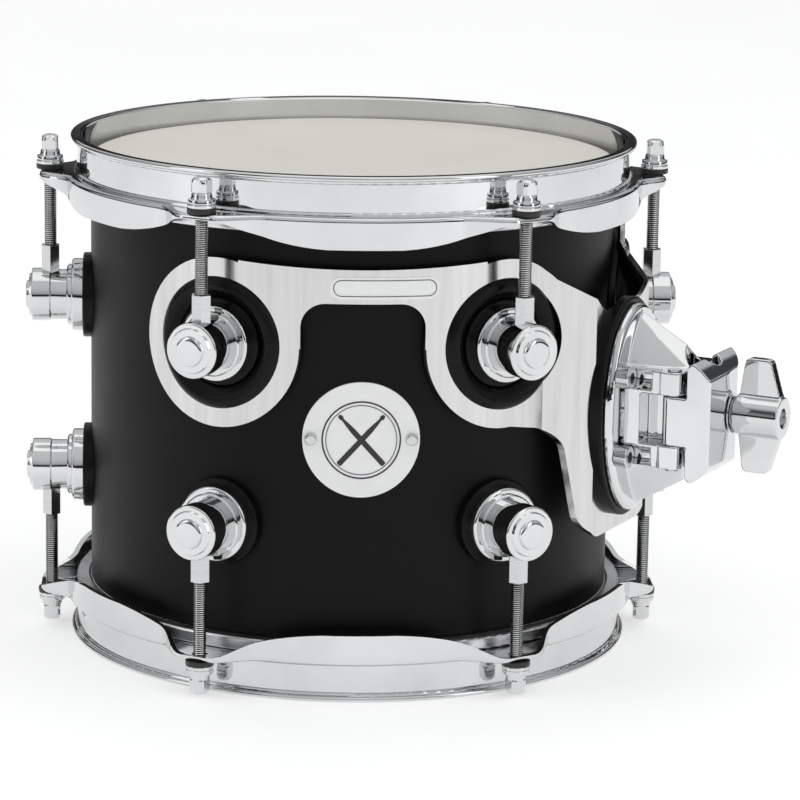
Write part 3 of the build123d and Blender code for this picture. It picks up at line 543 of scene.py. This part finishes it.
def soft_grommet(name, node, azimuth):
    """Moulded rubber ring with a rounded shoulder, bent to the drum."""
    points = []
    for reach, radius in GROMMET_SECTION:
        for j in range(GROMMET_COLUMNS):
            angle = 2 * pi * j / GROMMET_COLUMNS
            x = reach * cos(angle) * MM
            points.append((x, -sqrt((radius * MM) ** 2 - x * x), GROMMET_Z + reach * sin(angle) * MM))
    rows = len(GROMMET_SECTION)
    faces = grid_faces(rows, GROMMET_COLUMNS)
    last = (rows - 1) * GROMMET_COLUMNS
    for j in range(GROMMET_COLUMNS):
        after = (j + 1) % GROMMET_COLUMNS
        faces.append((last + j, last + after, after, j))
    piece = mesh_object(name, points, faces, RUBBER, 45)
    piece.data.transform(Matrix.Rotation(radians(azimuth), 4, "Z"))
    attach(piece, "drum")
    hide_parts(node)


for number, azimuth in enumerate(GROMMET_AZIMUTHS, start=1):
    soft_grommet(f"moulded_grommet_{number}", f"grommet_{number}", azimuth)


LABEL_LOW, LABEL_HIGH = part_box("blank_label")
LABEL_R = -LABEL_LOW.y
END_STEPS = 24
STRAIGHT_STEPS = 12


def slot_strip(half_length, half_height, half):
    """Strip round a slot outline, closed on itself."""
    reach = half_length - half_height
    strip = []
    for side, base in ((1, -pi / 2), (-1, pi / 2)):
        for i in range(END_STEPS + 1):
            angle = base + pi * i / END_STEPS
            strip.append((side * reach + half_height * cos(angle), half_height * sin(angle), half))
        for i in range(1, STRAIGHT_STEPS):
            strip.append((side * reach * (1 - 2 * i / STRAIGHT_STEPS), side * half_height, half))
    return strip + strip[:2]


label_centre = (LABEL_LOW + LABEL_HIGH) / 2
border = inlay("label_border", [slot_strip(18.6, 2.9, 0.13)], LABEL_R, label_centre.x, label_centre.z)
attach(border, "drum")


# ---------------------------------------------------------------- studio

FLOOR_COLUMNS = 96
FLOOR_RADII = (0.3, 0.6, 1.2, 2.5, 5.0, 9.0, 14.0)


def large_floor():
    """Pale flat round floor under the drum."""
    points = [(0.0, 0.0, 0.0)]
    for radius in FLOOR_RADII:
        for j in range(FLOOR_COLUMNS):
            angle = 2 * pi * j / FLOOR_COLUMNS
            points.append((radius * cos(angle), radius * sin(angle), 0.0))
    faces = [(0, 1 + j, 1 + (j + 1) % FLOOR_COLUMNS) for j in range(FLOOR_COLUMNS)]
    faces += grid_faces(len(FLOOR_RADII), FLOOR_COLUMNS, 1)
    floor = mesh_object("floor", points, faces, floor_material(), 30)


large_floor()


def soft_light(name, position, target, size, watts):
    """Rectangular softbox that looks at a point and isn't seen by the camera."""
    light = bpy.data.lights.new(name, "AREA")
    light.shape = "RECTANGLE"
    light.size, light.size_y = size
    light.energy = watts
    lamp = bpy.data.objects.new(name, light)
    bpy.context.scene.collection.objects.link(lamp)
    lamp.location = position
    lamp.rotation_euler = (Vector(target) - Vector(position)).to_track_quat("-Z", "Y").to_euler()
    lamp.visible_camera = False


FLAG = plastic("flag_cloth", (0.004, 0.004, 0.004), (0.008, 0.008, 0.008), 0.8)
CENTRE = (0.0, 0.0, MID_Z)


def flag(name, position, target, size):
    """Matt black card beside the set, seen only in reflections."""
    wide, tall = size[0] / 2, size[1] / 2
    points = [(-wide, -tall, 0.0), (wide, -tall, 0.0), (wide, tall, 0.0), (-wide, tall, 0.0)]
    card = mesh_object(name, points, [(0, 1, 2, 3)], FLAG, 30)
    card.location = position
    card.rotation_euler = (Vector(target) - Vector(position)).to_track_quat("Z", "Y").to_euler()
    card.visible_camera = False
    card.visible_diffuse = False
    card.visible_shadow = False


flag("flag_back", (0.0, 1.6, 0.5), CENTRE, (2.2, 0.16))
soft_light("top_box", (0.1, 0.1, 1.7), CENTRE, (1.6, 1.4), 3.5)
soft_light("right_box", (1.25, -1.15, 0.75), CENTRE, (0.5, 1.3), 3.2)
soft_light("left_box", (-1.5, -0.55, 0.7), CENTRE, (0.5, 1.3), 2.0)


WORLD_STRENGTH = 0.72
WHITE = (1.0, 1.0, 1.0)
PALE = (0.9, 0.9, 0.9)
HORIZON_DARK = (0.03, 0.03, 0.03)
SIDE_DARK = (0.12, 0.12, 0.12)
# From straight down at 0 to straight up at 1: pale, a dark line over the horizon, then paler again
HEIGHT_STOPS = ((0.0, PALE), (0.485, PALE), (0.5, HORIZON_DARK), (0.555, HORIZON_DARK),
                (0.6, (0.62, 0.63, 0.65)), (0.75, (0.88, 0.9, 0.92)), (1.0, WHITE))
# From straight ahead or behind at 0 to straight sideways at 1, with a dark upright band between
SIDE_STOPS = ((0.0, WHITE), (0.52, WHITE), (0.58, SIDE_DARK), (0.72, SIDE_DARK), (0.78, PALE), (1.0, PALE))
DARK_SIDES_FADE = 0.55
DARK_SIDES_TOP = 0.75


def studio_world():
    """Pale surround with a dark line over the horizon and a dark upright band on each side."""
    world = bpy.data.worlds.new("studio")
    bpy.context.scene.world = world
    world.use_nodes = True
    tree = world.node_tree
    background = tree.nodes["Background"]
    source = tree.nodes.new("ShaderNodeTexCoord")
    parts = tree.nodes.new("ShaderNodeSeparateXYZ")
    tree.links.new(source.outputs["Generated"], parts.inputs["Vector"])
    height = ramp(tree, spread(tree, parts.outputs["Z"], 0.0, 1.0, -1.0, 1.0), HEIGHT_STOPS)
    side = math_node(tree, "ABSOLUTE", parts.outputs["X"], 0.0)
    high = spread(tree, parts.outputs["Z"], 0.0, 1.0, DARK_SIDES_FADE, DARK_SIDES_TOP)
    strip = mix_colour(tree, high, ramp(tree, side, SIDE_STOPS), WHITE)
    tinted = tree.nodes.new("ShaderNodeMix")
    tinted.data_type = "RGBA"
    tinted.blend_type = "MULTIPLY"
    tinted.inputs["Factor"].default_value = 1.0
    tree.links.new(height, tinted.inputs[6])
    tree.links.new(strip, tinted.inputs[7])
    tree.links.new(tinted.outputs[2], background.inputs["Color"])
    background.inputs["Strength"].default_value = WORLD_STRENGTH


studio_world()


# ---------------------------------------------------------------- camera

CAMERA_AT = (-0.05565, -1.37318, 0.39404)
CAMERA_YAW = 3.1254
CAMERA_PITCH = 12.4764
CAMERA_ROLL = 0.9484
CAMERA_LENS = 162.24

yaw, pitch, roll = (radians(a) for a in (CAMERA_YAW, CAMERA_PITCH, CAMERA_ROLL))
forward = Vector((sin(yaw) * cos(pitch), cos(yaw) * cos(pitch), -sin(pitch)))
level = Vector((cos(yaw), -sin(yaw), 0.0))
upright = level.cross(forward)
right = level * cos(roll) + upright * sin(roll)
up = upright * cos(roll) - level * sin(roll)

camera_data = bpy.data.cameras.new("camera")
camera_data.lens = CAMERA_LENS
camera_data.sensor_width = 36.0
camera_data.clip_end = 60.0
camera = bpy.data.objects.new("camera", camera_data)
bpy.context.scene.collection.objects.link(camera)
camera.matrix_world = Matrix.Translation(CAMERA_AT) @ Matrix(
    (right, up, -forward)).transposed().to_4x4()
bpy.context.scene.camera = camera
bpy.context.scene.view_settings.view_transform = "Standard"
